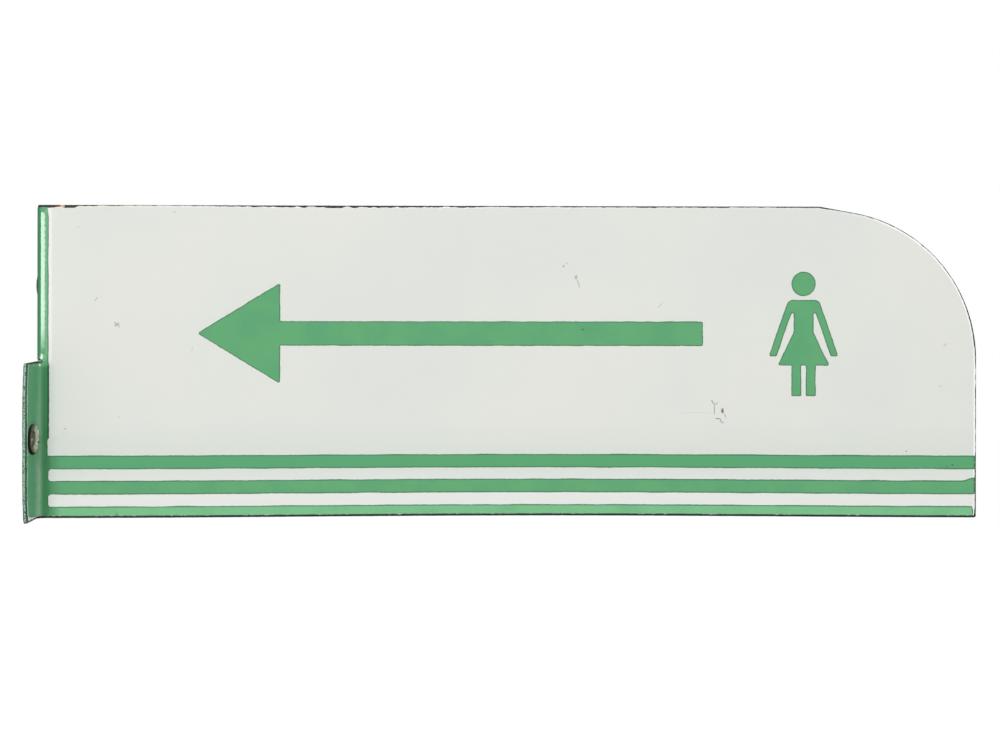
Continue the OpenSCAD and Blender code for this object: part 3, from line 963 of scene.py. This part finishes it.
def ground_finish():
    """Dark ground coat: blue-black glass, rusty in its chips, rubbed pale on the flange's free edge."""
    look = Finish(
        "dark ground coat", (0.008, 0.013, 0.012), (0.022, 0.028, 0.026), 9.0,
        Roughness=0.25, Specular_IOR_Level=0.2,
    )
    place = look.place
    x, y, z = place.axes()
    grain = place.clouds(1.1, 3.0)
    free_edge = abs(y).ramp(24.4, 24.8)
    greenish = free_edge * x.ramp(2.95, 3.02) * grain.ramp(0.42, 0.52, 0.35, 0.95)
    look.tint((0.05, 0.20, 0.085), greenish)
    rubbed = free_edge * abs(x - 2.3).ramp(0.72, 0.45) * grain.ramp(0.41, 0.49, 0.05, 1.0)
    look.tint((0.30, 0.52, 0.38), rubbed)
    rust = place.clouds(0.22, 4.0).ramp(0.62, 0.7) * z.ramp(-99.0, -90.0)
    rust = rust.most(chipped(place, [(14.0, 101.0, 0.0, 5.5, 1.6, 1.0)], y=-0.9))
    look.tint((0.075, 0.035, 0.02), rust * 0.6)
    bare = chipped(place, [(18.4, 100.9, 0.0, 1.7, 1.3, 1.0)], y=-0.9)
    look.tint((0.66, 0.40, 0.25), bare)
    glass = place.use(GLASS, Peel_height=8e-6, Wave_height=4e-5)
    return look.close(rust.most(rubbed).scaled(0.2, 0.4), (rust * grain).scaled(-5e-5, glass))


def brass_finish(name, tone, other_tone, wear):
    """Old brass: grey-green patina, rubbed to beige in the dish, with painted light and a painted highlight
    there, black down its side.
    """
    look = Finish(name, tone, other_tone, 4.0, Roughness=0.4, Specular_IOR_Level=0.05)
    place = look.place
    _, y, z = place.axes()
    grain = place.clouds(0.9, 5.0)
    rubbed = grain.ramp(0.5, 0.62)
    aside = abs(y) - HOLE_Y
    radius = hypotenuse(aside, abs(z) - HOLE_Z)
    dish = radius.within((4.9, 5.8), (9.2, 8.3))
    # Beige where the brass is rubbed in the dish, but only on the dish's half nearer the face: that
    # one-sided part is painted light.
    rubbed_dish_and_painted_light = rubbed.scaled(0.5, 0.5) * dish * wear * aside.ramp(3.5, -4.0)
    look.tint((0.86, 0.87, 0.68), rubbed_dish_and_painted_light)
    # Painted highlight: one pale spot on the lower grommet's dish.
    painted_highlight_spot = dimple(place, (4.6, -7.7, -45.0), 1.5, 1.0)
    look.tint((0.92, 0.92, 0.82), painted_highlight_spot.ramp(0.2, 0.6))
    pits = place.use(SPECKS, Cell_size=1.3, Share=0.3, Radius=0.32)
    notch = dimple(place, (4.4, -6.3, -52.3), 1.7, 1.0).ramp(0.2, 0.5)
    blackened = (pits * 0.7).most(notch, radius.ramp(9.15, 9.4))
    look.tint((0.010, 0.012, 0.009), blackened)
    dry = blackened.most((rubbed_dish_and_painted_light * 0.7).most(painted_highlight_spot))
    rough = rubbed.scaled(-0.15, blackened.scaled(0.35, 0.5))
    return look.close(rough, pits.scaled(-3e-5, grain * 4e-5), metallic=dry.scaled(-0.85, 0.85))


def steel_finish():
    """Pickled sheet steel under the coats: grey with fine drawn lines and light rust."""
    look = Finish(
        "pickled sheet steel", (0.42, 0.42, 0.41), (0.33, 0.33, 0.33), 30.0, Roughness=0.45, Metallic=1.0,
    )
    lines = look.place.use(SCRATCHES, Length=80.0, Width=0.8, Turn=0.0, Rarity=0.4)
    rust = look.place.clouds(0.12, 4.0).ramp(0.6, 0.72)
    look.tint((0.16, 0.07, 0.035), rust * 0.5)
    return look.close(lines.scaled(0.2, 0.42), lines * -4e-6)


# Pieces

front_white = white_finish("front white enamel", 1.0, FRONT_WHITE_MARKS)
back_white = white_finish("back white enamel", -1.0, BACK_WHITE_MARKS)
front_green = green_finish("front green enamel", 1.0, FRONT_GREEN_MARKS, FRONT_DIMPLES, FRONT_PAINTED_GLINTS)
back_green = green_finish("back green enamel", -1.0, BACK_GREEN_MARKS, BACK_DIMPLES, BACK_PAINTED_GLINTS)
dark_ground = ground_finish()
eyelet_brass = brass_finish("old eyelet brass", (0.13, 0.15, 0.10), (0.06, 0.07, 0.05), 0.95)
washer_brass = brass_finish("old washer brass", (0.30, 0.25, 0.15), (0.18, 0.155, 0.10), 0.5)

holes = hole_outlines(STEEL_HOLE)
coated_sheet = sheet_outline(FREE_EDGE, FREE_EDGE, COAT_CORNER, COAT_SLIT, COAT_SLIT_END)
steel_sheet = sheet_outline(FREE_EDGE, FREE_EDGE, STEEL_CORNER, STEEL_SLIT, STEEL_SLIT_END)
bend = bend_points()
nothing = np.zeros((0, 2))

steel_shape = layered([steel_sheet] + holes, STEEL_LAYERS, even_edge, bend)
make_coat("pressed_steel_sheet", steel_shape, 1, steel_finish(), ["steel_sheet"])
skin, skin_faces = layered([coated_sheet] + holes, GROUND_LAYERS, even_edge, bend)
lining, lining_faces = layered([steel_sheet] + holes, LINING_LAYERS, even_edge, bend)
ground_shape = joined([(skin, skin_faces), (lining, lining_faces[:, ::-1])])
make_coat("dark_ground_coat", ground_shape, 1, dark_ground, ["ground_coat"])

SIDES = ((1, "front", front_white, front_green), (-1, "back", back_white, back_green))
for side, label, white, green in SIDES:
    rubbed_edge = FREE_EDGE + RUBBED_BACK
    low_edge, high_edge = (rubbed_edge, FREE_EDGE) if side > 0 else (FREE_EDGE, rubbed_edge)
    low_rise, high_drop = (CORNER_TRIM, CORNER_BACK) if side > 0 else (CORNER_BACK, CORNER_TRIM)
    white_sheet = sheet_outline(low_edge, high_edge, COAT_CORNER, COAT_SLIT, COAT_SLIT_END)
    white_shape = layered([white_sheet] + holes, WHITE_LAYERS, white_edge(side), bend)
    make_coat(label + "_white_enamel", white_shape, side, white, [label + "_white_coat"])
    band = band_outline(low_edge + GREEN_BACK, high_edge + GREEN_BACK, low_rise, high_drop)
    band_shape = layered([band] + hole_outlines(GREEN_HOLE), GREEN_LAYERS, band_edge(side), bend)
    covered = [label + "_green_border"]
    covered += [label + "_" + row + "_stripe" for row in ("top", "middle", "bottom")]
    make_coat(label + "_green_band", band_shape, side, green, covered)
    arrow_shape = layered([arrow_outline()], GREEN_LAYERS, symbol_edge(50 + side), nothing)
    make_coat(label + "_enamel_arrow", arrow_shape, side, green, [label + "_arrow"])
    figure_shape = joined([
        layered([outline], GREEN_LAYERS, symbol_edge(60 + side), nothing) for outline in figure_outlines()
    ])
    make_coat(label + "_enamel_figure", figure_shape, side, green, [label + "_figure"])

for label, z, seed in (("lower", -HOLE_Z, 71), ("upper", HOLE_Z, 72)):
    z = float(lifted(0, z))
    eyelet = make_grommet(label + "_brass_eyelet", EYELET_PROFILE, z, 0.09, seed, eyelet_brass)
    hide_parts(label + "_eyelet")
    washer = make_grommet(label + "_brass_washer", WASHER_PROFILE, z, 0.02, seed + 2, washer_brass)
    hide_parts(label + "_washer")


# Studio

def soft_light(name, place, target, width, height, power):
    """A softbox that faces a point. Lamps aren't seen by the camera."""
    lamp = bpy.data.lights.new(name, "AREA")
    lamp.shape = "RECTANGLE"
    lamp.size = width
    lamp.size_y = height
    lamp.energy = power
    made = bpy.data.objects.new(name, lamp)
    made.location = place
    made.rotation_euler = (Vector(target) - Vector(place)).to_track_quat("-Z", "Y").to_euler()
    made.visible_camera = False
    bpy.context.scene.collection.objects.link(made)
    return made


def seen_or_mirrored(tree):
    """1 on rays from the camera, a mirror or through glass, and 0 on rays that only carry light."""
    seen = put(tree, "ShaderNodeLightPath", output="Is Camera Ray")
    return seen.most(seen.other("Is Glossy Ray"), seen.other("Is Transmission Ray"))


def set_world(light_level):
    """A plain room: white where it is seen or mirrored, and a softer grey where it only lights."""
    world = bpy.data.worlds.new("studio")
    world.use_nodes = True
    bpy.context.scene.world = world
    tree = world.node_tree
    tree.nodes.clear()
    lit = put(tree, "ShaderNodeBackground", {"Color": (1, 1, 1, 1), "Strength": light_level})
    plain = put(tree, "ShaderNodeBackground", {"Color": (1, 1, 1, 1), "Strength": 1.0})
    mixed = put(tree, "ShaderNodeMixShader", {0: seen_or_mirrored(tree), 1: lit, 2: plain})
    put(tree, "ShaderNodeOutputWorld", {"Surface": mixed})


def floor_finish():
    """Pale studio floor that looks white and keeps a faint shadow."""
    material = bpy.data.materials.new("pale studio floor")
    material.use_nodes = True
    tree = material.node_tree
    tree.nodes.clear()
    paint = put(tree, "ShaderNodeBsdfDiffuse", {"Color": (0.85, 0.85, 0.84, 1)})
    glow = put(tree, "ShaderNodeEmission", {"Color": (1, 1, 1, 1), "Strength": 0.72})
    both = put(tree, "ShaderNodeAddShader", {0: paint, 1: glow})
    mixed = put(tree, "ShaderNodeMixShader", {0: seen_or_mirrored(tree), 1: paint, 2: both})
    put(tree, "ShaderNodeOutputMaterial", {"Surface": mixed})
    return material


def make_floor():
    """A round floor: rings of points at growing radius, well below the sign, which hangs on a wall."""
    count = 24
    steps = 72
    centre = np.array([0.3, 0.0, -1.05])
    turns = np.arange(steps) / steps * 2 * pi
    r, turn = np.meshgrid(np.linspace(0.05, 6.0, count), turns, indexing="ij")
    points = centre + np.stack([r * np.cos(turn), r * np.sin(turn), 0 * r], axis=-1).reshape(-1, 3)
    level, i = np.indices((count - 1, steps))
    here = level * steps + i
    beside = level * steps + (i + 1) % steps
    hub = np.stack([np.full(steps, len(points)), np.arange(steps), (np.arange(steps) + 1) % steps], axis=1)
    faces = np.concatenate([halved(here, here + steps, beside + steps, beside), hub])
    floor = make_mesh("studio_floor", np.concatenate([points, [centre]]), faces)
    floor.data.materials.append(floor_finish())


def dark_card():
    """A curved card behind the wall edge, unseen by the camera: it only darkens what the bend mirrors.

    It is part of a tube round the bend, from 66 to 165 degrees round from the front.
    """
    reach = 1.8
    columns = 28
    rows = 6
    turns = np.radians(np.linspace(66, 165, columns))
    turn, z = np.meshgrid(turns, np.linspace(-0.5, 0.6, rows), indexing="ij")
    points = np.stack([-reach * np.sin(turn), -reach * np.cos(turn), z], axis=-1).reshape(-1, 3)
    column, row = np.indices((columns - 1, rows - 1))
    here = column * rows + row
    card = make_mesh("studio_dark_card", points, halved(here, here + rows, here + rows + 1, here + 1))
    material = bpy.data.materials.new("dark studio card")
    material.use_nodes = True
    tree = material.node_tree
    cloth = put(tree, "ShaderNodeTexNoise", {"Scale": 40.0}, "Fac")
    colour = cloth.blend((0.03, 0.035, 0.03, 1), (0.06, 0.07, 0.06, 1))
    tree.links.new(colour.socket, tree.nodes["Principled BSDF"].inputs["Base Color"])
    card.data.materials.append(material)
    card.visible_camera = False
    card.visible_diffuse = False
    card.visible_shadow = False


make_floor()
dark_card()
set_world(0.42)
middle = (0.31, 0.0, 0.0)
soft_light("front_key", (0.0, -2.5, 1.8), middle, 1.4, 1.0, 61)
soft_light("back_key", (0.3, 2.5, 1.8), middle, 1.4, 1.0, 62)
left_strip = soft_light("left_strip", (-1.74, -1.932, 0.11), (0.0, 0.0, 0.11), 1.9, 0.36, 29)
left_strip.visible_diffuse = False

camera = bpy.data.objects.new("camera", bpy.data.cameras.new("camera"))
camera.location = (0.2839, -0.9158, 0.0433)
camera.rotation_euler = (radians(90), radians(-0.087), radians(-0.79))
camera.data.lens = 50.45
camera.data.sensor_width = 36
camera.data.shift_x = 0.0102
camera.data.shift_y = -0.0799
camera.data.clip_end = 50
bpy.context.scene.collection.objects.link(camera)
bpy.context.scene.camera = camera
bpy.context.scene.view_settings.view_transform = "Standard"
